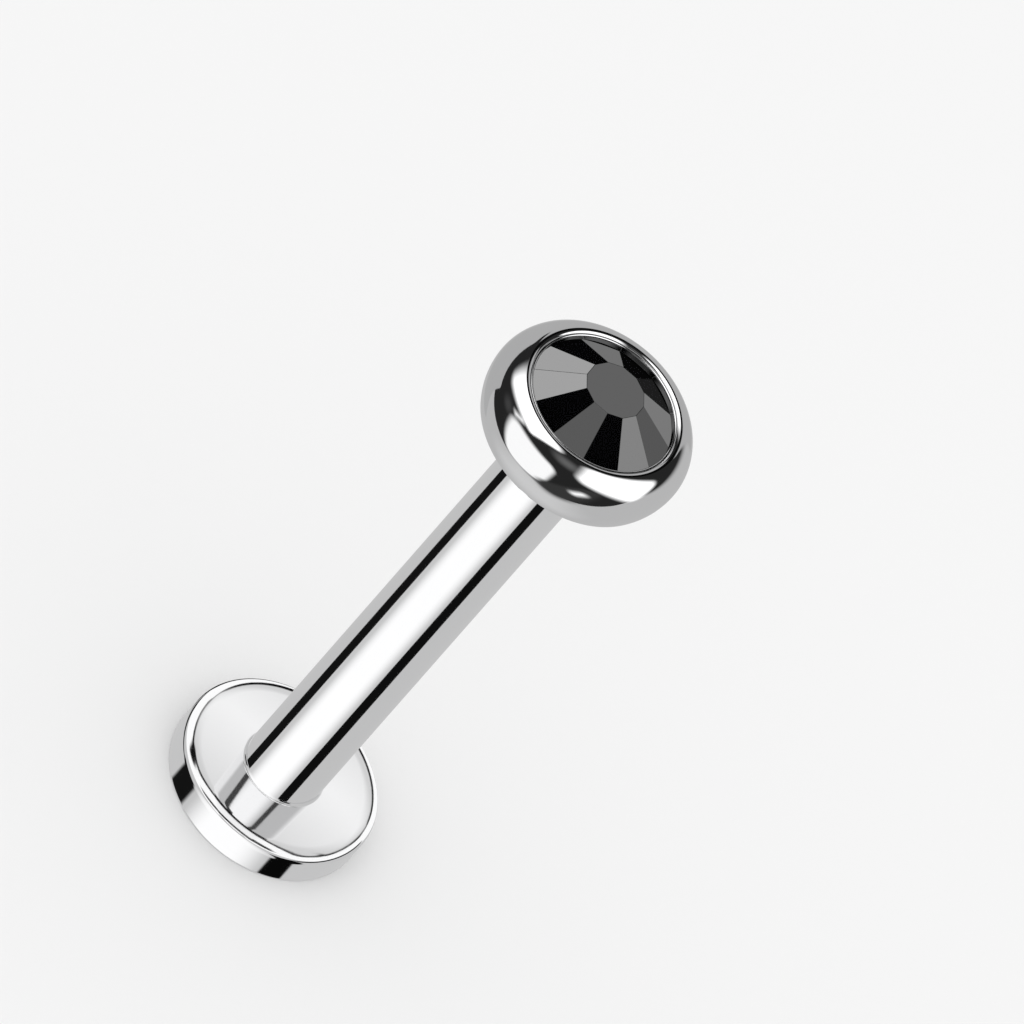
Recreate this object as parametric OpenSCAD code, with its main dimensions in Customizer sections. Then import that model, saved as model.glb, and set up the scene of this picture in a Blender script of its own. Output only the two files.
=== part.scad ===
// Labret stud: a flat disc with a barrel post, and a screwed-in cup that holds a faceted crystal.
// It stands on the back of its disc. The origin is the centre of that back face, +Z is the post's axis.

/* [Post] */
// Diameter of the post
post_d = 1.6; // [1.5:0.05:2]
// Bare length of the post, from the disc's face to the underside of the cup
wear_l = 11.5; // [6:0.5:16]
// Radius of the hollow round where the post meets the disc
foot_r = 0.08; // [0.04:0.01:0.15]
// Chamfer round the outside of the post's open end
post_chamfer = 0.06; // [0.03:0.01:0.1]

/* [Disc] */
// Diameter of the disc
disc_d = 4; // [3.5:0.1:6]
// Thickness of the disc
disc_t = 0.67; // [0.5:0.05:1]
// Radius round the edge on the post's side
disc_front_r = 0.13; // [0.06:0.01:0.2]
// Radius round the edge of the back face
disc_back_r = 0.05; // [0.03:0.01:0.15]

/* [Thread] */
// Outer diameter of the stub's thread
thread_d = 1.08; // [0.9:0.02:1.1]
// Distance from crest to crest
thread_pitch = 0.23; // [0.2:0.01:0.3]
// Depth of the thread
thread_depth = 0.11; // [0.06:0.01:0.14]
// Length of the stub below the cup
stub_l = 1.85; // [1.4:0.05:2.4]
// Length of the plain neck between the cup and the first crest
neck_l = 0.16; // [0.1:0.02:0.3]
// Radial clearance of the stub in its bore
thread_gap = 0.02; // [0.01:0.005:0.03]
// Free depth below the tip of the stub
bore_spare = 0.3; // [0.15:0.05:0.6]
// Chamfer round the mouth of the bore
mouth_chamfer = 0.08; // [0.04:0.01:0.1]

/* [Cup] */
// Widest diameter of the cup
cup_d = 4.09; // [3.9:0.05:5]
// Height from the cup's underside to the crest of its lip
cup_h = 1.2; // [1.1:0.05:1.5]
// Height of the widest ring above the underside
cup_belly_h = 0.53; // [0.4:0.05:0.6]
// Radius of the side below the widest ring
cup_lower_r = 1.18; // [1:0.05:1.6]
// Radius of the lip's crest
lip_r = 0.11; // [0.08:0.01:0.14]
// Diameter of the opening inside the lip
window_d = 2.926; // [2.8:0.02:2.96]
// Thickness of the cup's floor under the crystal
cup_floor = 0.4; // [0.3:0.05:0.5]
// Clearance between the cup's underside and the end of the post
seat_gap = 0.01; // [0.005:0.005:0.03]

/* [Crystal] */
// Diameter of the crystal at its girdle
gem_d = 3; // [2.98:0.01:3.1]
// Diameter of the table, across its corners
table_d = 1.2; // [0.9:0.05:1.6]
// Number of crown facets
facets = 12; // [8:1:16]
// Height of the crown, from the girdle to the table
crown_h = 0.64; // [0.5:0.03:0.9]
// Height of the girdle
girdle_h = 0.17; // [0.06:0.02:0.2]
// Height of the bevelled back, below the girdle
back_h = 0.37; // [0.25:0.03:0.45]
// Diameter of the flat back
back_d = 2.4; // [2:0.1:2.7]
// Clearance between the crystal and the cup
gem_gap = 0.02; // [0.01:0.005:0.04]
// Turn of the facets about the post's axis
gem_turn = 16; // [0:1:30]

/* [Hidden] */
$fn = 96;
arc_steps = 10;

post_r = post_d / 2;
disc_r = disc_d / 2;
post_end = disc_t + wear_l - seat_gap;
cup_base = disc_t + wear_l;

thread_r = thread_d / 2;
root_r = thread_r - thread_depth;
bore_r = thread_r + thread_gap;
bore_depth = stub_l + bore_spare;

cup_r = cup_d / 2;
window_r = window_d / 2;
// The side above the widest ring is one arc, which starts upright and runs into the lip's crest.
lip_c = [window_r + lip_r, cup_h - lip_r];
lip_in = cup_r - lip_c.x;
lip_up = lip_c.y - cup_belly_h;
cup_upper_r = (lip_in^2 + lip_up^2 - lip_r^2) / (2 * (lip_in - lip_r));
upper_c = [cup_r - cup_upper_r, cup_belly_h];
lip_angle = atan2(lip_c.y - upper_c.y, lip_c.x - upper_c.x);
base_angle = -asin(cup_belly_h / cup_lower_r);

gem_r = gem_d / 2;
table_r = table_d / 2;
crown_slope = crown_h / (gem_r - table_r);
girdle_low = cup_floor + gem_gap + back_h;
girdle_top = girdle_low + girdle_h;
table_z = girdle_top + crown_h;

// Points of an arc from angle a0 to angle a1, about a centre.
function arc(centre, r, a0, a1) =
    [for (i = [0:arc_steps]) let (a = a0 + (a1 - a0) * i / arc_steps) centre + r * [cos(a), sin(a)]];

// Disc and post, turned from one bar: the outline runs from the back face to the open end.
module disc_post() {
    outline = concat(
        [[0, 0]],
        arc([disc_r - disc_back_r, disc_back_r], disc_back_r, -90, 0),
        arc([disc_r - disc_front_r, disc_t - disc_front_r], disc_front_r, 0, 90),
        arc([post_r + foot_r, disc_t + foot_r], foot_r, 270, 180),
        [[post_r, post_end - post_chamfer], [post_r - post_chamfer, post_end], [0, post_end]]
    );
    color("silver")
    difference() {
        rotate_extrude() polygon(outline);
        translate([0, 0, post_end - bore_depth]) cylinder(r = bore_r, h = bore_depth + 1);
        drill_point();
        bore_mouth();
    }
}

// Cone that the drill leaves at the bottom of the bore.
module drill_point() {
    translate([0, 0, post_end - bore_depth])
    rotate_extrude() polygon([[0, 0.1], [bore_r, 0.1], [bore_r, 0], [0, -bore_r / 2]]);
}

// Countersink at the mouth of the bore.
module bore_mouth() {
    rim_r = bore_r + mouth_chamfer;
    translate([0, 0, post_end])
    rotate_extrude()
    polygon([[0, -mouth_chamfer], [bore_r, -mouth_chamfer], [rim_r, 0], [rim_r, 1], [0, 1]]);
}

// Cup with its burnished lip and its threaded stub, in one piece.
module gem_cup() {
    outline = concat(
        [[0, 0]],
        arc([cup_r - cup_lower_r, cup_belly_h], cup_lower_r, base_angle, 0),
        arc(upper_c, cup_upper_r, 0, lip_angle),
        arc(lip_c, lip_r, lip_angle, 180),
        [[0, lip_c.y]]
    );
    color("silver")
    translate([0, 0, cup_base]) {
        difference() {
            rotate_extrude() polygon(outline);
            gem_seat();
        }
        stub();
    }
}

// Room for the crystal: window, undercut for the girdle and bevelled floor, a gap wider than the crystal.
module gem_seat() {
    seat_r = gem_r + gem_gap;
    back_r = back_d / 2 + gem_gap;
    under_lip = girdle_top + gem_gap;
    rotate_extrude() polygon([
        [0, cup_floor],
        [back_r, cup_floor],
        [seat_r, girdle_low],
        [seat_r, under_lip],
        [window_r, under_lip + (seat_r - window_r) * crown_slope],
        [window_r, cup_h + 1],
        [0, cup_h + 1]
    ]);
}

// Stub below the cup: a plain neck, then crests and roots down to a chamfered tip.
module stub() {
    turns = floor((stub_l - neck_l - thread_depth) / thread_pitch);
    tip_z = -stub_l;
    teeth = [
        for (i = [0:turns - 1]) let (z = -neck_l - i * thread_pitch)
        each [[root_r, z], [thread_r, z - thread_pitch / 2]]
    ];
    rotate_extrude() polygon(concat(
        [[0, cup_floor / 2], [root_r, cup_floor / 2]],
        teeth,
        [[root_r, -neck_l - turns * thread_pitch], [root_r - thread_depth / 2, tip_z], [0, tip_z]]
    ));
}

// Flat-backed crystal: one row of crown facets round a table, cut on a round blank, over a bevelled back.
module crystal() {
    cut_h = table_z - girdle_low;
    back_z = girdle_low - back_h;
    color([0.05, 0.05, 0.06])
    translate([0, 0, cup_base]) {
        intersection() {
            translate([0, 0, girdle_low]) cylinder(r = gem_r, h = cut_h);
            translate([0, 0, girdle_low])
            rotate(gem_turn)
            cylinder(r1 = table_r + cut_h / crown_slope, r2 = table_r, h = cut_h, $fn = facets);
        }
        translate([0, 0, back_z])
        rotate_extrude() polygon([[0, 0], [back_d / 2, 0], [gem_r, back_h], [0, back_h]]);
    }
}

disc_post();
gem_cup();
crystal();
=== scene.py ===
import math

import bpy
import numpy as np
from mathutils import Matrix, Vector


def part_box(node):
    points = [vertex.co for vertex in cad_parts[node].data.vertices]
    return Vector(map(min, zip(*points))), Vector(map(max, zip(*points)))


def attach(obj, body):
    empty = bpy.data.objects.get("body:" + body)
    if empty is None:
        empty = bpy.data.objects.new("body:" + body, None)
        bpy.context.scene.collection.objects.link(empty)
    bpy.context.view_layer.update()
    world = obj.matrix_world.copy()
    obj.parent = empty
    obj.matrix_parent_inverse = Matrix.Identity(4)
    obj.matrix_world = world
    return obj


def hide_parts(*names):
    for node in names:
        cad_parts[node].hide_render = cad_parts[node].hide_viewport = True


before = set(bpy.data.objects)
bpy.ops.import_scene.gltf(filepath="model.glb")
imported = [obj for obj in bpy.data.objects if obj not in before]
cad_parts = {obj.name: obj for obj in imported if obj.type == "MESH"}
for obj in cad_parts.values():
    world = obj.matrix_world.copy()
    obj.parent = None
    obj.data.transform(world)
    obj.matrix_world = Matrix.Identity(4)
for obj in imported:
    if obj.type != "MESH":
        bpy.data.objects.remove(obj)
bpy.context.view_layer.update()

# Disc. The round foot of the stud, turned from one bar with its post in surgical steel: a flat back, a
# straight side, a small edge round, a slope that eases into it, and a barely domed face, all buffed bright.
MM = 0.001
COLUMNS = 160
CORNER_STEPS = 6
EDGE_STEPS = 24
FACE_RINGS = 20

disc_radius = 2.0
back_edge_round = 0.05
slope_start = 1.66
slope_end_angle = 14.0
edge_round = 0.09
dome_radius = 40.0
foot_height = 0.72
post_radius = 0.8

clear_steel = (0.915, 0.915, 0.92, 1)
hazed_steel = (0.88, 0.882, 0.89, 1)
clear_roughness = 0.02
hazed_roughness = 0.09
haze_start = 0.1
haze_end = 0.45
cloud_density = 700.0
bar_ring_density = 26000.0
bar_scratch_density = 9000.0
mark_depth = 1.2e-7


def bend(centre, radius, start, end, steps):
    """Outline points (radius, height) of an arc, from angle start to angle end in degrees."""
    angle = np.radians(np.linspace(start, end, steps + 1))
    return np.column_stack([centre[0] + radius * np.cos(angle), centre[1] + radius * np.sin(angle)])


def rounded(points, radii):
    """Outline through corner points, each corner replaced by an arc that touches both of its sides.
    An arc's centre lies on the corner's bisector, at radius over the sine of half its angle."""
    points = [np.array(p, float) for p in points]
    pieces = [points[0][None]]
    for before, corner, after, radius in zip(points, points[1:], points[2:], radii):
        to_before = (before - corner) / np.linalg.norm(before - corner)
        to_after = (after - corner) / np.linalg.norm(after - corner)
        half = math.acos(np.clip(to_before @ to_after, -1, 1)) / 2
        bisector = (to_before + to_after) / np.linalg.norm(to_before + to_after)
        centre = corner + bisector * radius / math.sin(half)
        touch = radius / math.tan(half)
        spokes = [corner + to_before * touch - centre, corner + to_after * touch - centre]
        start, end = (math.atan2(s[1], s[0]) for s in spokes)
        end = start + (end - start + math.pi) % (2 * math.pi) - math.pi
        pieces.append(bend(centre, radius, math.degrees(start), math.degrees(end), CORNER_STEPS))
    pieces.append(points[-1][None])
    return np.vstack(pieces)


def held(outline):
    """The outline with an extra point just inside each end of every long straight side, so that the
    shading of a corner doesn't spread over the side."""
    reach = 0.004
    short_side = 8 * reach
    step = np.diff(outline, axis=0)
    length = np.linalg.norm(step, axis=1)
    rows = [outline[0]]
    for start, end, vector, size in zip(outline, outline[1:], step, length):
        if size > short_side:
            rows += [start + vector * reach / size, end - vector * reach / size]
        rows.append(end)
    return np.array(rows)


def skin(name, x, y, z):
    """Closed surface over a grid of points in millimetres. Rows run from one pole to the other and columns
    go round and meet again. Each pole is a single point with triangles; all other faces have four sides."""
    rows, columns = x.shape
    grid = np.stack([x, y, z], axis=-1)
    index = np.arange((rows - 2) * columns).reshape(rows - 2, columns)
    ahead = np.roll(index, -1, axis=1)
    quads = np.stack([index[:-1], ahead[:-1], ahead[1:], index[1:]], axis=-1).reshape(-1, 4)
    first_pole = np.full(columns, index.size)
    last_pole = first_pole + 1
    caps = np.vstack([
        np.column_stack([first_pole, ahead[0], index[0]]),
        np.column_stack([index[-1], ahead[-1], last_pole]),
    ])
    points = np.vstack([grid[1:-1].reshape(-1, 3), grid[0, :1], grid[-1, :1]]) * MM
    mesh = bpy.data.meshes.new(name)
    mesh.from_pydata(points.tolist(), [], quads.tolist() + caps.tolist())
    mesh.shade_smooth()
    piece = bpy.data.objects.new(name, mesh)
    bpy.context.scene.collection.objects.link(piece)
    return piece


def turned(name, radius, height):
    """Surface of revolution: each column is the outline (radius, height), turned about the Z axis by its
    own share of a full turn. The radius may differ from column to column, as on a thread."""
    angle = np.linspace(0, 2 * np.pi, radius.shape[1], endpoint=False)
    return skin(name, radius * np.cos(angle), radius * np.sin(angle), height)


def all_round(outline):
    """The outline's radius and height repeated for every column."""
    return (np.repeat(outline[:, k, None], COLUMNS, axis=1) for k in (0, 1))


def principled(name):
    """A new material, its node tree and its Principled shader."""
    material = bpy.data.materials.new(name)
    material.use_nodes = True
    return material, material.node_tree, material.node_tree.nodes["Principled BSDF"]


def add_node(tree, kind, operation=None, **values):
    """A new node in a tree, with its operation and the values of its inputs. An input goes by its name, or
    by its number after an underscore where the node's inputs share one name."""
    node = tree.nodes.new(kind)
    if operation:
        node.operation = operation
    for key, value in values.items():
        node.inputs[int(key[1:]) if key[0] == "_" else key].default_value = value
    return node


def polish_marks_group():
    """Marks of turning and buffing: fine rings round the Z axis, broken short scratches and soft clouds.
    Height is the mean of rings and scratches, and Haze is Height times the clouds, both from 0 to 1."""
    ring_drift = 0.00012
    scratch_stretch = 0.12
    scratch_share = 0.5
    group = bpy.data.node_groups.new("polish_marks", "ShaderNodeTree")
    for title in ("Ring density", "Scratch density", "Cloud density"):
        group.interface.new_socket(title, in_out="INPUT", socket_type="NodeSocketFloat")
    for title in ("Haze", "Height"):
        group.interface.new_socket(title, in_out="OUTPUT", socket_type="NodeSocketFloat")
    given = group.nodes.new("NodeGroupInput")
    result = group.nodes.new("NodeGroupOutput")
    place = group.nodes.new("ShaderNodeTexCoord")
    split = group.nodes.new("ShaderNodeSeparateXYZ")
    group.links.new(place.outputs["Object"], split.inputs[0])
    flat = add_node(group, "ShaderNodeVectorMath", "MULTIPLY", _1=(1, 1, 0))
    group.links.new(place.outputs["Object"], flat.inputs[0])
    radius = add_node(group, "ShaderNodeVectorMath", "LENGTH")
    group.links.new(flat.outputs[0], radius.inputs[0])
    angle = add_node(group, "ShaderNodeMath", "ARCTAN2")
    group.links.new(split.outputs["Y"], angle.inputs[0])
    group.links.new(split.outputs["X"], angle.inputs[1])
    slow_turn = add_node(group, "ShaderNodeMath", "MULTIPLY", _1=ring_drift)
    group.links.new(angle.outputs[0], slow_turn.inputs[0])
    rolled = group.nodes.new("ShaderNodeCombineXYZ")
    group.links.new(radius.outputs["Value"], rolled.inputs["X"])
    group.links.new(slow_turn.outputs[0], rolled.inputs["Y"])
    group.links.new(split.outputs["Z"], rolled.inputs["Z"])
    rings = add_node(group, "ShaderNodeTexNoise", Detail=3.0, Roughness=0.6)
    group.links.new(rolled.outputs[0], rings.inputs["Vector"])
    group.links.new(given.outputs["Ring density"], rings.inputs["Scale"])
    stretched = add_node(group, "ShaderNodeVectorMath", "MULTIPLY", _1=(1, 1, scratch_stretch))
    group.links.new(place.outputs["Object"], stretched.inputs[0])
    scratches = add_node(group, "ShaderNodeTexNoise", Detail=4.0, Roughness=0.7)
    group.links.new(stretched.outputs[0], scratches.inputs["Vector"])
    group.links.new(given.outputs["Scratch density"], scratches.inputs["Scale"])
    clouds = add_node(group, "ShaderNodeTexNoise", Detail=2.0)
    group.links.new(place.outputs["Object"], clouds.inputs["Vector"])
    group.links.new(given.outputs["Cloud density"], clouds.inputs["Scale"])
    fine = add_node(group, "ShaderNodeMath", "MULTIPLY_ADD", _1=1 - scratch_share)
    group.links.new(rings.outputs["Fac"], fine.inputs[0])
    scratch_part = add_node(group, "ShaderNodeMath", "MULTIPLY", _1=scratch_share)
    group.links.new(scratches.outputs["Fac"], scratch_part.inputs[0])
    group.links.new(scratch_part.outputs[0], fine.inputs[2])
    haze = add_node(group, "ShaderNodeMath", "MULTIPLY")
    group.links.new(fine.outputs[0], haze.inputs[0])
    group.links.new(clouds.outputs["Fac"], haze.inputs[1])
    group.links.new(haze.outputs[0], result.inputs["Haze"])
    group.links.new(fine.outputs[0], result.inputs["Height"])
    return group


polish_marks = polish_marks_group()


def mirror_steel(name, ring_density, scratch_density):
    """Buffed surgical steel: a bright metal whose haze and height follow the marks of polishing."""
    material, tree, shader = principled(name)
    shader.inputs["Metallic"].default_value = 1.0
    marks = tree.nodes.new("ShaderNodeGroup")
    marks.node_tree = polish_marks
    marks.inputs["Ring density"].default_value = ring_density
    marks.inputs["Scratch density"].default_value = scratch_density
    marks.inputs["Cloud density"].default_value = cloud_density
    gloss = tree.nodes.new("ShaderNodeMapRange")
    gloss.inputs["From Min"].default_value = haze_start
    gloss.inputs["From Max"].default_value = haze_end
    gloss.inputs["To Min"].default_value = clear_roughness
    gloss.inputs["To Max"].default_value = hazed_roughness
    tree.links.new(marks.outputs["Haze"], gloss.inputs["Value"])
    tree.links.new(gloss.outputs[0], shader.inputs["Roughness"])
    tint = tree.nodes.new("ShaderNodeMix")
    tint.data_type = "RGBA"
    tint.inputs[6].default_value = clear_steel
    tint.inputs[7].default_value = hazed_steel
    tree.links.new(marks.outputs["Haze"], tint.inputs[0])
    tree.links.new(tint.outputs[2], shader.inputs["Base Color"])
    relief = tree.nodes.new("ShaderNodeBump")
    relief.inputs["Strength"].default_value = 1.0
    relief.inputs["Distance"].default_value = mark_depth
    tree.links.new(marks.outputs["Height"], relief.inputs["Height"])
    tree.links.new(relief.outputs[0], shader.inputs["Normal"])
    return material


def face_height(radius):
    """Height of the domed face: a flat parabola through the post's foot."""
    return foot_height - (radius**2 - post_radius**2) / (2 * dome_radius)


def eased_slope():
    """Outline of the slope round the face, an arc whose tilt grows from the dome's to that of the edge
    round's upper end: its radius is its width over the difference of the two tilts' sines."""
    start = math.degrees(math.atan(slope_start / dome_radius))
    end_sine = math.sin(math.radians(slope_end_angle))
    width = disc_radius - edge_round * (1 - end_sine) - slope_start
    radius = width / (end_sine - math.sin(math.radians(start)))
    centre = (
        slope_start - radius * math.sin(math.radians(start)),
        face_height(slope_start) - radius * math.cos(math.radians(start)),
    )
    return bend(centre, radius, 90 - slope_end_angle, 90 - start, EDGE_STEPS)


slope = eased_slope()
edge_height = slope[0, 1] - edge_round * math.cos(math.radians(slope_end_angle))
edge_centre = (disc_radius - edge_round, edge_height)
edge = bend(edge_centre, edge_round, 0, 90 - slope_end_angle, EDGE_STEPS)
face_radius = np.linspace(slope_start, 0, FACE_RINGS)[1:]
back_and_side = rounded([(0, 0), (disc_radius, 0), edge[0]], [back_edge_round])
face = np.column_stack([face_radius, face_height(face_radius)])
disc_outline = np.vstack([held(back_and_side), edge[1:], slope[1:], face])
disc = turned("disc_steel", *all_round(disc_outline))
disc.data.materials.append(mirror_steel("steel_disc", bar_ring_density, bar_scratch_density))
disc.visible_glossy = False
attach(disc, "post")
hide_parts("disc_post")

# Post. The barrel on the disc, of the same bar: a small hollow round at its foot, and a free end that is
# drilled, countersunk and tapped for the stub of the cup.
ROWS_PER_PITCH = 14
foot_round = 0.06
foot_sink = 0.003
buried_height = 0.35
end_chamfer = 0.06
end_round = 0.015
mouth_chamfer = 0.08
bore_depth = 2.15
thread_pitch = 0.23
thread_depth = 0.11
thread_crest_radius = 0.54
thread_gap = 0.02
post_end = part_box("disc_post")[1].z / MM


def thread_wave(height):
    """How far each point stands towards a right-handed thread's crest, 0 at a root and 1 at a crest: a
    triangle wave of height over pitch less the share of a turn, cut flat at both ends."""
    root_flat = 0.1
    flank_share = 0.75
    turn = np.linspace(0, 1, COLUMNS, endpoint=False)
    ramp = np.abs(2 * ((height / thread_pitch - turn) % 1) - 1)
    return np.clip((ramp - root_flat) / flank_share, 0, 1)


foot_outer = post_radius + foot_round
foot_base = face_height(foot_outer) - foot_sink
bore_root = thread_crest_radius + thread_gap
buried = np.array([(0, buried_height), (foot_outer, buried_height)])
foot = bend((foot_outer, foot_base + foot_round), foot_round, 270, 180, steps=12)
barrel = rounded(
    [
        (post_radius, foot_base + 2 * foot_round),
        (post_radius, post_end - end_chamfer),
        (post_radius - end_chamfer, post_end),
        (bore_root + mouth_chamfer, post_end),
        (bore_root, post_end - mouth_chamfer),
    ],
    [end_round, end_round, end_round],
)
post_outside = held(np.vstack([buried, foot, barrel]))
thread_row = thread_pitch / ROWS_PER_PITCH
bore_bottom = post_end - bore_depth
bore_height = np.arange(post_end - mouth_chamfer, bore_bottom, -thread_row)[1:, None]
bore_height = np.repeat(bore_height, COLUMNS, axis=1)
countersink = bore_root + mouth_chamfer - (post_end - bore_height)
bore_radius = np.maximum(bore_root - thread_depth * (1 - thread_wave(bore_height)), countersink)
tap_drill = bore_root - thread_depth
below = held(np.array([(tap_drill, bore_bottom), (0, bore_bottom - tap_drill / 2)]))
outside_radius, outside_height = all_round(post_outside)
below_radius, below_height = all_round(below)
post = turned(
    "post_steel",
    np.vstack([outside_radius, bore_radius, below_radius]),
    np.vstack([outside_height, bore_height, below_height]),
)
post.data.materials.append(mirror_steel("steel_post", bar_ring_density, bar_scratch_density))
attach(post, "post")
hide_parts("disc_post")

# Cup and stub. One turned and milled piece of the same steel: a round cup whose lip is burnished over the
# stone, and under it a short stub with a right-handed thread that screws into the post.
thread_root_radius = thread_crest_radius - thread_depth
cup_radius = 2.045
belly_height = 0.53
side_lower_round = 1.18
lip_round = 0.11
lip_centre = np.array([1.573, 1.09])
burnish_round = 0.035
burnish_centre = np.array([1.475, 1.135])
cup_floor = 0.4
base_edge_round = 0.03
base_edge_turn = 2.0
neck_round = 0.03
stub_length = 1.85
neck_length = 0.16
gem_radius = 1.5
gem_back_radius = 1.2
gem_gap = 0.02
girdle_low = 0.79
girdle_top = 0.96
table_radius = 0.6
crown_height = 0.64
crown_slope = crown_height / (gem_radius - table_radius)
cup_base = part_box("gem_cup")[0].z / MM + stub_length
cup_ring_density = 22000.0
cup_scratch_density = 12000.0

stub_tip = -stub_length
tip_radius = thread_root_radius - thread_depth / 2
stub_height = np.arange(stub_tip, -neck_length, thread_row)[:, None]
stub_height = np.repeat(stub_height, COLUMNS, axis=1)
run_out = np.clip((-neck_length - stub_height) / (thread_pitch / 2), 0, 1)
lead_in = tip_radius + (stub_height - stub_tip)
stub_radius = thread_root_radius + thread_depth * run_out * thread_wave(stub_height + cup_base)
stub_radius = np.minimum(stub_radius, lead_in)

# The lip's crest and its burnished ring are two circles that cut each other in a fine groove, which lies
# along and aside from the line between their centres by lengths that follow from their radii.
between = burnish_centre - lip_centre
apart = np.linalg.norm(between)
groove_along = (lip_round**2 - burnish_round**2 + apart**2) / (2 * apart)
groove_aside = math.sqrt(lip_round**2 - groove_along**2)
across = np.array([between[1], -between[0]]) / apart
groove = lip_centre + between / apart * groove_along + across * groove_aside
lip_end = math.degrees(math.atan2(*(groove - lip_centre)[::-1]))
burnish_start = math.degrees(math.atan2(*(groove - burnish_centre)[::-1]))

# The side above the widest ring is one arc, which starts upright and touches the lip's crest.
lip_in = cup_radius - lip_centre[0]
lip_up = lip_centre[1] - belly_height
side_upper_round = (lip_in**2 + lip_up**2 - lip_round**2) / (2 * (lip_in - lip_round))
upper_centre = np.array([cup_radius - side_upper_round, belly_height])
lip_angle = math.degrees(math.atan2(*(lip_centre - upper_centre)[::-1]))

base_angle = -math.degrees(math.asin(belly_height / side_lower_round))
lower_centre = np.array([cup_radius - side_lower_round, belly_height])
base_edge = bend(lower_centre, side_lower_round, base_angle, base_angle + base_edge_turn, steps=1)
underside = rounded(
    [(thread_root_radius, -neck_length), (thread_root_radius, 0), base_edge[0], base_edge[1]],
    [neck_round, base_edge_round],
)
side_start = base_angle + 1.5 * base_edge_turn
under_lip = girdle_top + gem_gap
window_radius = burnish_centre[0] - burnish_round
seat_radius = gem_radius + gem_gap
seat = np.array([
    (window_radius, under_lip + (seat_radius - window_radius) * crown_slope),
    (seat_radius, under_lip),
    (seat_radius, girdle_low),
    (gem_back_radius + gem_gap, cup_floor),
    (0, cup_floor),
])
cup_outline = np.vstack([
    underside,
    bend(lower_centre, side_lower_round, side_start, 0, steps=24),
    bend(upper_centre, side_upper_round, 0, lip_angle, steps=48)[1:],
    bend(lip_centre, lip_round, lip_angle, lip_end, steps=32)[1:],
    bend(burnish_centre, burnish_round, burnish_start, 180, steps=16)[1:],
    seat,
])
cup_outside_radius, cup_outside_height = all_round(held(cup_outline))
tip_rows = np.zeros((1, COLUMNS))
gem_cup = turned(
    "gem_cup_steel",
    np.vstack([tip_rows, stub_radius, cup_outside_radius]),
    np.vstack([tip_rows + stub_tip, stub_height, cup_outside_height]) + cup_base,
)
gem_cup.data.materials.append(mirror_steel("steel_cup", cup_ring_density, cup_scratch_density))
gem_cup.visible_glossy = False
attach(gem_cup, "gem_top")
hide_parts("gem_cup")

# Crystal. A flat-backed round stone of black lead glass: one table, twelve crown facets and a bevelled
# back, cut and then fire-polished, with a dark metallic sheen. The cup's lip holds it by its girdle.
FACETS = 12
CORNER_POINTS = 5
SIDE_STEPS = 8
CROWN_STEPS = 6
back_height = 0.37
gem_turn = 16.0
facet_edge_round = 0.035
table_edge_round = 0.03
pole_radius = 1e-6

sheen_index = 2.2
fresh_black = (0.0006, 0.0006, 0.0008, 1)
worn_black = (0.0018, 0.0018, 0.0022, 1)
fresh_roughness = 0.015
worn_roughness = 0.06
wear_density = 900.0
wave_density = 450.0
wave_height = 4e-6

table_z = girdle_top + crown_height
corner_cos = math.cos(math.pi / FACETS)
table_apothem = table_radius * corner_cos
mid_slope = crown_slope / corner_cos


def facet_path(apothem):
    """Points round a regular polygon at each given apothem, with every corner an arc of one small radius.
    An arc's centre lies on the corner's ray, and each straight side is split into even steps."""
    corner = np.radians(gem_turn + 360 / FACETS * np.arange(FACETS))
    sweep = np.radians(np.linspace(-180 / FACETS, 180 / FACETS, CORNER_POINTS))
    fillet = np.minimum(facet_edge_round, apothem / 2)[:, None, None]
    reach = (apothem[:, None, None] - fillet) / corner_cos
    turn = corner[None, :, None] + sweep[None, None, :]
    x = reach * np.cos(corner)[None, :, None] + fillet * np.cos(turn)
    y = reach * np.sin(corner)[None, :, None] + fillet * np.sin(turn)
    share = np.linspace(0, 1, SIDE_STEPS + 1)[1:-1]
    next_x, next_y = (np.roll(v[:, :, 0], -1, axis=1)[:, :, None] for v in (x, y))
    side_x = x[:, :, -1:] * (1 - share) + next_x * share
    side_y = y[:, :, -1:] * (1 - share) + next_y * share
    flat = (len(apothem), -1)
    return (
        np.concatenate([x, side_x], axis=2).reshape(flat),
        np.concatenate([y, side_y], axis=2).reshape(flat),
    )


crown = rounded(
    [
        (0, table_z),
        (table_apothem, table_z),
        (gem_radius, table_z - (gem_radius - table_apothem) * mid_slope),
    ],
    [table_edge_round],
)[::-1]
crown_x, crown_y = facet_path(np.maximum(crown[:, 0], pole_radius))
crown_z = np.repeat(crown[:, 1, None], crown_x.shape[1], axis=1)

# The facets are cut on a round blank, so each line down the crown stops where it meets the girdle's
# circle. The cut is a share of the line, the positive root of a quadratic.
low_x, low_y, low_z = crown_x[0], crown_y[0], crown_z[0]
high_x, high_y, high_z = crown_x[1], crown_y[1], crown_z[1]
run_x, run_y = low_x - high_x, low_y - high_y
square = run_x**2 + run_y**2
cross = high_x * run_x + high_y * run_y
spare = gem_radius**2 - high_x**2 - high_y**2
cut = (-cross + np.sqrt(cross**2 + square * spare)) / square
girdle_x, girdle_y = high_x + cut * run_x, high_y + cut * run_y
girdle_z = high_z + cut * (low_z - high_z)
shares = np.linspace(1, 0, CROWN_STEPS + 1)[:-1, None]
crown_x = np.vstack([high_x + shares * (girdle_x - high_x), crown_x[1:]])
crown_y = np.vstack([high_y + shares * (girdle_y - high_y), crown_y[1:]])
crown_z = np.vstack([high_z + shares * (girdle_z - high_z), crown_z[1:]])
back = held(np.array([
    (0, girdle_low - back_height),
    (gem_back_radius / gem_radius, girdle_low - back_height),
    (1, girdle_low),
]))
back_z = np.repeat(back[:, 1, None], len(girdle_x), axis=1)
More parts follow.
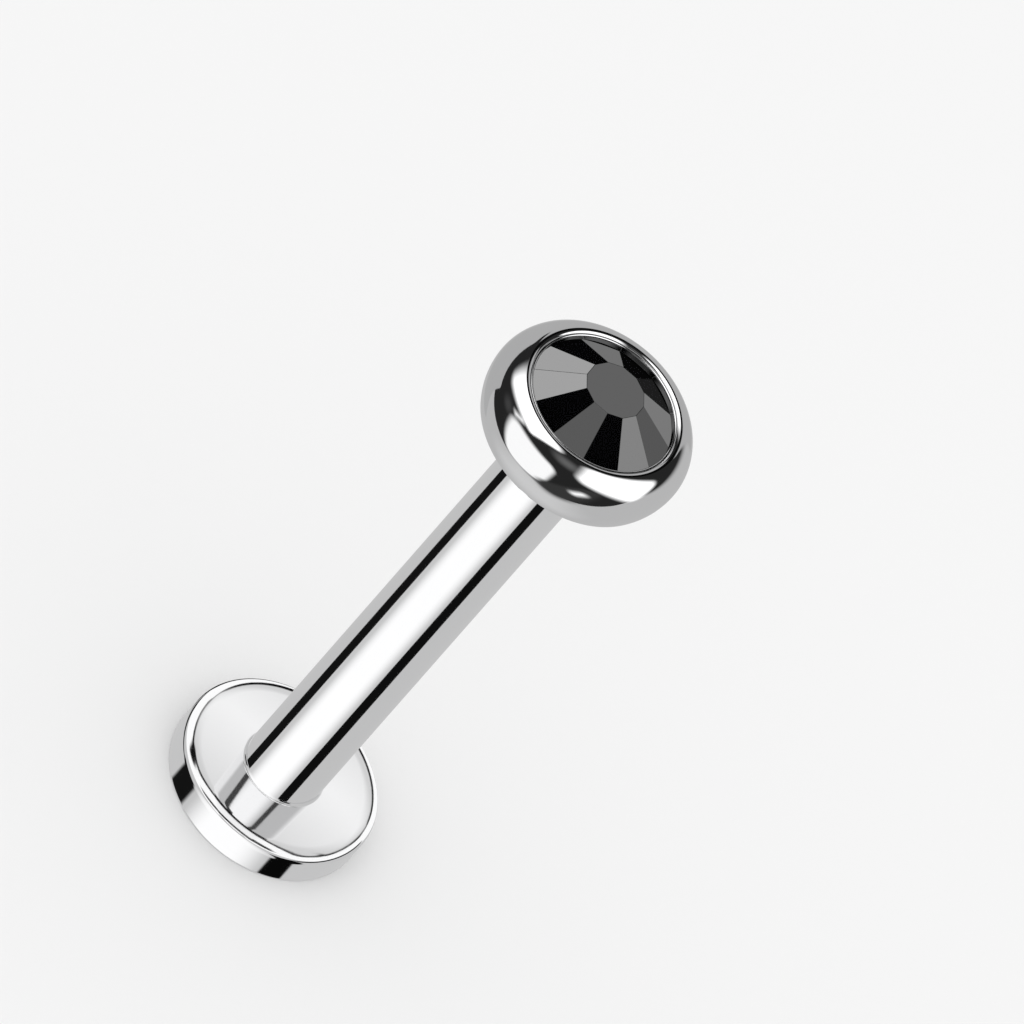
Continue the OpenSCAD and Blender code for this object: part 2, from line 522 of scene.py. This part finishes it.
crystal = skin(
    "crystal_stone",
    np.vstack([back[:, :1] * girdle_x, crown_x]),
    np.vstack([back[:, :1] * girdle_y, crown_y]),
    np.vstack([back_z, crown_z]) + cup_base,
)
crystal.data.polygons.foreach_set("use_smooth", np.zeros(len(crystal.data.polygons), bool))


def black_crystal():
    """Black cut glass with a thin metallic bloom: near-black body, high gloss, faint clouds of wear."""
    material, tree, shader = principled("crystal_black")
    shader.inputs["IOR"].default_value = sheen_index
    place = tree.nodes.new("ShaderNodeTexCoord")
    clouds = add_node(tree, "ShaderNodeTexNoise", Scale=wear_density, Detail=3.0)
    tree.links.new(place.outputs["Object"], clouds.inputs["Vector"])
    body = tree.nodes.new("ShaderNodeMix")
    body.data_type = "RGBA"
    body.inputs[6].default_value = fresh_black
    body.inputs[7].default_value = worn_black
    tree.links.new(clouds.outputs["Fac"], body.inputs[0])
    tree.links.new(body.outputs[2], shader.inputs["Base Color"])
    gloss = tree.nodes.new("ShaderNodeMapRange")
    gloss.inputs["To Min"].default_value = fresh_roughness
    gloss.inputs["To Max"].default_value = worn_roughness
    tree.links.new(clouds.outputs["Fac"], gloss.inputs["Value"])
    tree.links.new(gloss.outputs[0], shader.inputs["Roughness"])
    waves = add_node(tree, "ShaderNodeTexNoise", Scale=wave_density, Detail=0.0)
    tree.links.new(place.outputs["Object"], waves.inputs["Vector"])
    relief = tree.nodes.new("ShaderNodeBump")
    relief.inputs["Strength"].default_value = 1.0
    relief.inputs["Distance"].default_value = wave_height
    tree.links.new(waves.outputs["Fac"], relief.inputs["Height"])
    tree.links.new(relief.outputs[0], shader.inputs["Normal"])
    return material


crystal.data.materials.append(black_crystal())
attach(crystal, "gem_top")
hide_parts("crystal")

# Studio. A pale paper floor under an even white room, and round the stud a box of large soft light
# panels, patterned as softboxes, black flags and grey paper, one set for each piece.
STUDIO_REACH = 0.25
steel_reflectance = 0.905
stone_reflectance = 0.14
floor_half = 3.0
paper_reflectance = 0.8
paper_tone = 0.93


def display(level):
    """Linear light of a display level from 0 to 255, by the usual curve of a screen. Light over 255 burns
    out to white."""
    share = level / 255
    return share / 12.92 if share <= 0.04045 else ((share + 0.055) / 1.055) ** 2.4


def card_group():
    """Mask of a flat rectangular card seen from the stud. The direction is projected on the card's plane:
    its parts along the card's width and height over its part towards the card. The mask falls softly
    from 1 to 0 across the rounded rectangle's edge. A corner radius over half the width makes an oval."""
    group = bpy.data.node_groups.new("studio_card", "ShaderNodeTree")
    for title in ("Direction", "Across", "Up", "Towards"):
        group.interface.new_socket(title, in_out="INPUT", socket_type="NodeSocketVector")
    for title in ("Middle X", "Middle Y", "Half width", "Half height", "Corner", "Feather"):
        group.interface.new_socket(title, in_out="INPUT", socket_type="NodeSocketFloat")
    group.interface.new_socket("Mask", in_out="OUTPUT", socket_type="NodeSocketFloat")
    given = group.nodes.new("NodeGroupInput")
    result = group.nodes.new("NodeGroupOutput")
    least_ahead = 0.001

    def linked(kind, operation, *sources, out=0):
        """Output of a new node whose inputs are numbers or other nodes' outputs."""
        node = add_node(group, kind, operation)
        for slot, source in enumerate(sources):
            if isinstance(source, (int, float)):
                node.inputs[slot].default_value = source
            else:
                group.links.new(source, node.inputs[slot])
        return node.outputs[out]

    def maths(operation, *sources):
        """One step of arithmetic."""
        return linked("ShaderNodeMath", operation, *sources)

    def along(axis):
        """The direction's part along one axis of the card: their dot product."""
        pair = given.outputs["Direction"], given.outputs[axis]
        return linked("ShaderNodeVectorMath", "DOT_PRODUCT", *pair, out=1)

    towards = along("Towards")
    ahead_of = maths("MAXIMUM", towards, least_ahead)
    past = []
    for axis, middle, half in (("Across", "Middle X", "Half width"), ("Up", "Middle Y", "Half height")):
        from_middle = maths("SUBTRACT", maths("DIVIDE", along(axis), ahead_of), given.outputs[middle])
        inset = maths("SUBTRACT", given.outputs[half], given.outputs["Corner"])
        past.append(maths("SUBTRACT", maths("ABSOLUTE", from_middle), inset))
    outward = [maths("MAXIMUM", part, 0.0) for part in past]
    squares = maths("ADD", *(maths("MULTIPLY", part, part) for part in outward))
    inward = maths("MINIMUM", maths("MAXIMUM", past[0], past[1]), 0.0)
    distance = maths("SUBTRACT", maths("ADD", maths("SQRT", squares), inward), given.outputs["Corner"])
    edge = group.nodes.new("ShaderNodeMapRange")
    edge.interpolation_type = "SMOOTHSTEP"
    edge.inputs["To Min"].default_value = 1.0
    edge.inputs["To Max"].default_value = 0.0
    group.links.new(distance, edge.inputs["Value"])
    group.links.new(maths("MULTIPLY", given.outputs["Feather"], -1.0), edge.inputs["From Min"])
    group.links.new(given.outputs["Feather"], edge.inputs["From Max"])
    in_front = maths("GREATER_THAN", towards, 0.0)
    group.links.new(maths("MULTIPLY", edge.outputs["Result"], in_front), result.inputs["Mask"])
    return group


studio_card = card_group()


def card_axes(azimuth, elevation, roll):
    """Across, up and towards vectors of a card. Azimuth 0 is -Y and 90 is +X, as seen from the stud."""
    a, e, r = (math.radians(v) for v in (azimuth, elevation, roll))
    towards = Vector((math.cos(e) * math.sin(a), -math.cos(e) * math.cos(a), math.sin(e)))
    level = Vector((math.cos(a), math.sin(a), 0))
    upright = Vector((-math.sin(e) * math.sin(a), math.sin(e) * math.cos(a), math.cos(e)))
    return (
        math.cos(r) * level + math.sin(r) * upright,
        -math.sin(r) * level + math.cos(r) * upright,
        towards,
    )


def studio(name, piece, height, gain, backdrop, cards):
    """Six soft panels that close a box round a height on the stud and light one piece alone. The gain makes
    up for the light that the piece swallows. The backdrop is the display level between the cards, and
    each card is painted over those before it."""
    centre = Vector((0, 0, height * MM))
    light = bpy.data.lights.new(name, "AREA")
    light.shape = "SQUARE"
    light.size = 2 * STUDIO_REACH
    light.energy = math.pi * light.size**2 * gain
    light.use_nodes = True
    tree = light.node_tree
    place = tree.nodes.new("ShaderNodeNewGeometry")
    offset = add_node(tree, "ShaderNodeVectorMath", "SUBTRACT", _1=centre)
    tree.links.new(place.outputs["Position"], offset.inputs[0])
    direction = add_node(tree, "ShaderNodeVectorMath", "NORMALIZE")
    tree.links.new(offset.outputs[0], direction.inputs[0])
    brightness = None
    for azimuth, elevation, roll, left, right, bottom, top, corner, feather, level in cards:
        card = tree.nodes.new("ShaderNodeGroup")
        card.node_tree = studio_card
        tree.links.new(direction.outputs[0], card.inputs["Direction"])
        for socket, vector in zip(("Across", "Up", "Towards"), card_axes(azimuth, elevation, roll)):
            card.inputs[socket].default_value = vector
        card.inputs["Middle X"].default_value = (left + right) / 2
        card.inputs["Middle Y"].default_value = (bottom + top) / 2
        card.inputs["Half width"].default_value = (right - left) / 2
        card.inputs["Half height"].default_value = (top - bottom) / 2
        card.inputs["Corner"].default_value = corner
        card.inputs["Feather"].default_value = feather
        over = tree.nodes.new("ShaderNodeMix")
        over.inputs[2].default_value = display(backdrop)
        over.inputs[3].default_value = display(level)
        tree.links.new(card.outputs["Mask"], over.inputs[0])
        if brightness:
            tree.links.new(brightness, over.inputs[2])
        brightness = over.outputs[0]
    tree.links.new(brightness, tree.nodes["Emission"].inputs["Strength"])
    lit = bpy.data.collections.new(name + "_lit")
    lit.objects.link(piece)
    for side in ((1, 0, 0), (-1, 0, 0), (0, 1, 0), (0, -1, 0), (0, 0, 1), (0, 0, -1)):
        panel = bpy.data.objects.new(name + "_panel", light)
        panel.location = centre + Vector(side) * STUDIO_REACH
        panel.rotation_euler = Vector(side).to_track_quat("Z", "Y").to_euler()
        panel.visible_camera = False
        panel.visible_diffuse = False
        panel.light_linking.receiver_collection = lit
        bpy.context.scene.collection.objects.link(panel)


# Each card: azimuth, elevation and roll of the direction in which it hangs, in degrees; its left, right,
# bottom and top edges as tangents of angles; corner radius and feather; display level in the piece.
DISC_CARDS = (
    # A softbox before the side, a white sheet over the edge, a black flag on either side, and black strips
    # that draw the fine lines outside the edge's white ring.
    (0, 0, 2, -0.9, 0.75, -8, 5, 0.4, 0.5, 254),
    (180, 45.5, 0, -1.2, 1.2, -2.6, 0.9, 0.3, 0.1, 252),
    (-70, -5, -10, -0.17, 0.35, -1.2, 0.1, 0.05, 0.05, 19),
    (-118, 1, -37, -0.42, 0.95, -0.24, 0.2, 0.05, 0.04, 12),
    (-155, -17, 18, -0.27, 0.32, -0.36, 0.45, 0.05, 0.04, 12),
    (61, 0, 5, -0.235, 0.235, -1.5, 0.75, 0.05, 0.03, 8),
    (105, 34, -8, -0.5, 0.6, -0.24, 0.14, 0.05, 0.04, 12),
    (180, 45.5, 0, -0.21, 0.21, 0.44, 0.5, 0, 0.015, 25),
    # The rim of the face: a black border round grey paper, first an oval for the far half and then
    # straight pieces for the near half. Last, the bright middle of the face.
    (180, 45.5, 7, -0.298, 0.238, -0.67, 0.67, 0.67, 0.008, 12),
    (180, 45.5, 7, -0.262, 0.202, -0.432, 0.432, 0.432, 0.015, 208),
    (180, 45.5, 0, -0.37, 0.37, -0.02, 0.42, 0, 0.01, 252),
    (180, 45.5, -37, 0, 0.1, 0.27, 0.41, 0.03, 0.02, 15),
    (180, 45.5, 0, -0.305, 0.26, -0.06, 0.2, 0.03, 0.008, 12),
    (180, 45.5, -22, -0.355, 0.12, 0.06, 0.218, 0.04, 0.008, 12),
    (180, 45.5, 19, -0.12, 0.27, 0.06, 0.222, 0.04, 0.008, 12),
    (180, 45.5, 0, -0.268, 0.222, -0.1, 0.17, 0.02, 0.015, 208),
    (180, 45.5, -22, -0.315, 0.1, 0.08, 0.178, 0.04, 0.015, 208),
    (180, 45.5, 19, -0.1, 0.235, 0.08, 0.182, 0.04, 0.015, 208),
    (180, 45.5, 0, -0.2, 0.2, -0.075, 0.055, 0.02, 0.11, 246),
)
POST_CARDS = (
    # Light from behind, grey paper round a softbox with soft sides, and a black flag on either side.
    (180, 20, 0, -0.6, 0.6, -1.3, 1.6, 0.4, 0.5, 238),
    (-14, 0, 0, -1.48, 1.48, -11, 11, 0, 0.02, 198),
    (-11, 0, 0, -0.8, 0.8, -11, 11, 0, 0.45, 255),
    (-83.5, 0, 0, -0.24, 0.24, -11, 0, 0, 0.012, 18),
    (55, 0, 0, -0.231, 0.231, -11, 0, 0, 0.012, 14),
    # Paper and two dark strips above, for the post as the disc's face mirrors it.
    (-150, 45.5, 0, -0.5, 0.5, -0.5, 0.5, 0.1, 0.12, 236),
    (-60, 49, -60, -0.055, 0.055, -0.4, 0.4, 0, 0.015, 66),
    (49, 49, 20, -0.08, 0.08, -0.4, 0.4, 0, 0.03, 66),
    # Black and white rings overhead, for the fine lines in the hollow round at the foot.
    (0, 90, 0, -0.69, 0.69, -0.69, 0.69, 0.69, 0.015, 12),
    (0, 90, 0, -0.59, 0.59, -0.59, 0.59, 0.59, 0.015, 250),
    (0, 90, 0, -0.39, 0.39, -0.39, 0.39, 0.39, 0.01, 25),
    (0, 90, 0, -0.33, 0.33, -0.33, 0.33, 0.33, 0.01, 250),
)
CUP_CARDS = (
    # Grey paper below, for the rim, and two faint patches of haze.
    (164, -48, -13, -16, 9, -80, 1.53, 0.2, 0.6, 180),
    (10, -62, 0, -0.6, 0.4, -0.4, 0.4, 0.2, 0.35, 200),
    (-72, 14, 0, -0.12, 0.14, -0.14, 0.14, 0.12, 0.12, 62),
    (14, 62, 0, -0.15, 0.2, -0.16, 0.16, 0.15, 0.15, 95),
    # Three softboxes, a dark grey sheet and two small lamps.
    (-35, 14.5, 8, -0.42, 0.88, -1.45, 0.3, 0.29, 0.11, 250),
    (-117, 39.5, 48, 0, 1.38, -0.39, 0.74, 0.14, 0.16, 290),
    (63.5, 33.5, 51, -0.19, 0.78, -0.78, 0.49, 0.22, 0.13, 290),
    (51, -45.5, -15, -1.07, -0.27, -0.28, 2.18, 0.4, 0.17, 53),
    (45.5, -1.5, 44, -0.22, 0.04, 0.08, 0.18, 0.05, 0.13, 290),
    (-63.5, 16, -25, -0.1, -0.05, 0.19, 0.44, 0, 0.11, 290),
    # A black oval for the crest of the lip, and grey paper at the back.
    (180, 52, 0, -0.36, 0.36, -0.3, 0.36, 0.3, 0.03, 8),
    (-131.5, -32, -38, -1.11, 0.52, -0.27, 1.03, 0.1, 0.01, 169),
    (180, 15, 0, -0.55, 0.55, -0.9, 0.46, 0.2, 0.04, 168),
)
STONE_CARDS = (
    # Broad grey cards overhead and in front, for the stone from its other sides.
    (0, 90, 0, -0.24, 0.24, -0.24, 0.24, 0.1, 0.03, 105),
    (75, 12, 0, -0.35, 0.35, -0.4, 0.3, 0.1, 0.1, 90),
    (-60, -5, 0, -0.35, 0.25, -0.4, 0.4, 0.1, 0.1, 100),
    (0, -10, 0, -0.9, 0.9, -0.5, 0.4, 0.2, 0.1, 122),
    # Smaller cards, each for one facet, and the last for the table.
    (-105, 34, 0, -0.14, 0.25, -0.2, 0.3, 0.05, 0.03, 159),
    (-135, 13, 0, -0.25, 0.13, -0.25, 0.13, 0.05, 0.03, 147),
    (158, -8, 0, -0.15, 0.15, -0.16, 0.2, 0.05, 0.04, 93),
    (172, -22, 0, -0.06, 0.06, -0.05, 0.07, 0.03, 0.02, 14),
    (-168, -17, 0, -0.13, 0.13, -0.14, 0.2, 0.04, 0.02, 71),
    (137, 12, 0, -0.2, 0.2, -0.2, 0.2, 0.05, 0.12, 77),
    (108, 32, 0, -0.24, 0.24, -0.25, 0.3, 0.05, 0.03, 128),
    (2, 62, 0, -0.3, 0.3, -0.3, 0.3, 0.1, 0.2, 88),
    (180, 45.5, 0, -0.25, 0.25, -0.25, 0.25, 0.1, 0.1, 93),
)
steel_gain = 1 / steel_reflectance
stone_gain = 1 / stone_reflectance
studio("disc_studio", disc, height=0.5, gain=steel_gain, backdrop=194, cards=DISC_CARDS)
studio("post_studio", post, height=6.0, gain=steel_gain, backdrop=190, cards=POST_CARDS)
studio("cup_studio", gem_cup, height=13.0, gain=steel_gain, backdrop=35, cards=CUP_CARDS)
studio("stone_studio", crystal, height=13.4, gain=stone_gain, backdrop=2, cards=STONE_CARDS)

floor_mesh = bpy.data.meshes.new("floor")
floor_corners = [(x * floor_half, y * floor_half, 0) for x, y in ((-1, -1), (1, -1), (1, 1), (-1, 1))]
floor_mesh.from_pydata(floor_corners, [], [(0, 1, 2, 3)])
floor = bpy.data.objects.new("floor", floor_mesh)
bpy.context.scene.collection.objects.link(floor)
floor.visible_glossy = False
paper, _, paper_shader = principled("floor_paper")
paper_shader.inputs["Roughness"].default_value = 0.9
paper_shader.inputs["Specular IOR Level"].default_value = 0.0
paper_shader.inputs["Base Color"].default_value = (*[paper_reflectance] * 3, 1)
floor_mesh.materials.append(paper)

# The room is brighter for the floor than for the eye, by the paper's reflectance, so that open floor comes
# out in the tone of the room behind it. Mirrors don't see the room, because each piece has its own studio.
room = bpy.data.worlds.new("room")
bpy.context.scene.world = room
room.use_nodes = True
room_tree = room.node_tree
ray = room_tree.nodes.new("ShaderNodeLightPath")
light_on_floor = room_tree.nodes.new("ShaderNodeMix")
light_on_floor.inputs[2].default_value = paper_tone / paper_reflectance
light_on_floor.inputs[3].default_value = paper_tone
room_tree.links.new(ray.outputs["Is Camera Ray"], light_on_floor.inputs[0])
not_in_metal = room_tree.nodes.new("ShaderNodeMix")
not_in_metal.inputs[3].default_value = 0.0
room_tree.links.new(ray.outputs["Is Glossy Ray"], not_in_metal.inputs[0])
room_tree.links.new(light_on_floor.outputs[0], not_in_metal.inputs[2])
room_tree.links.new(not_in_metal.outputs[0], room_tree.nodes["Background"].inputs["Strength"])
room_tree.nodes["Background"].inputs["Color"].default_value = (1, 1, 1, 1)
bpy.context.scene.view_settings.view_transform = "Standard"

# Camera. It looks down at the post's axis at 45.5 degrees through a very long lens, rolled so that the
# stud leans to the upper right of the picture.
look_at = Vector((0.046, 1.4, 8.23)) * MM
view_elevation = math.radians(45.5)
picture_width = 18.6 * MM
roll_right = Vector((0.75122, 0.66006))
camera_data = bpy.data.cameras.new("camera")
camera_data.lens = 800.0
camera_data.sensor_width = 18.0
towards_camera = Vector((0, -math.cos(view_elevation), math.sin(view_elevation)))
level_up = Vector((0, math.sin(view_elevation), math.cos(view_elevation)))
level_right = Vector((1, 0, 0))
picture_right = roll_right.x * level_right + roll_right.y * level_up
picture_up = -roll_right.y * level_right + roll_right.x * level_up
camera = bpy.data.objects.new("camera", camera_data)
turn = Matrix((picture_right, picture_up, towards_camera)).transposed()
distance = picture_width * camera_data.lens / camera_data.sensor_width
camera.matrix_world = Matrix.Translation(look_at + towards_camera * distance) @ turn.to_4x4()
camera_data.clip_start = 0.05
camera_data.clip_end = 10.0
bpy.context.scene.collection.objects.link(camera)
bpy.context.scene.camera = camera
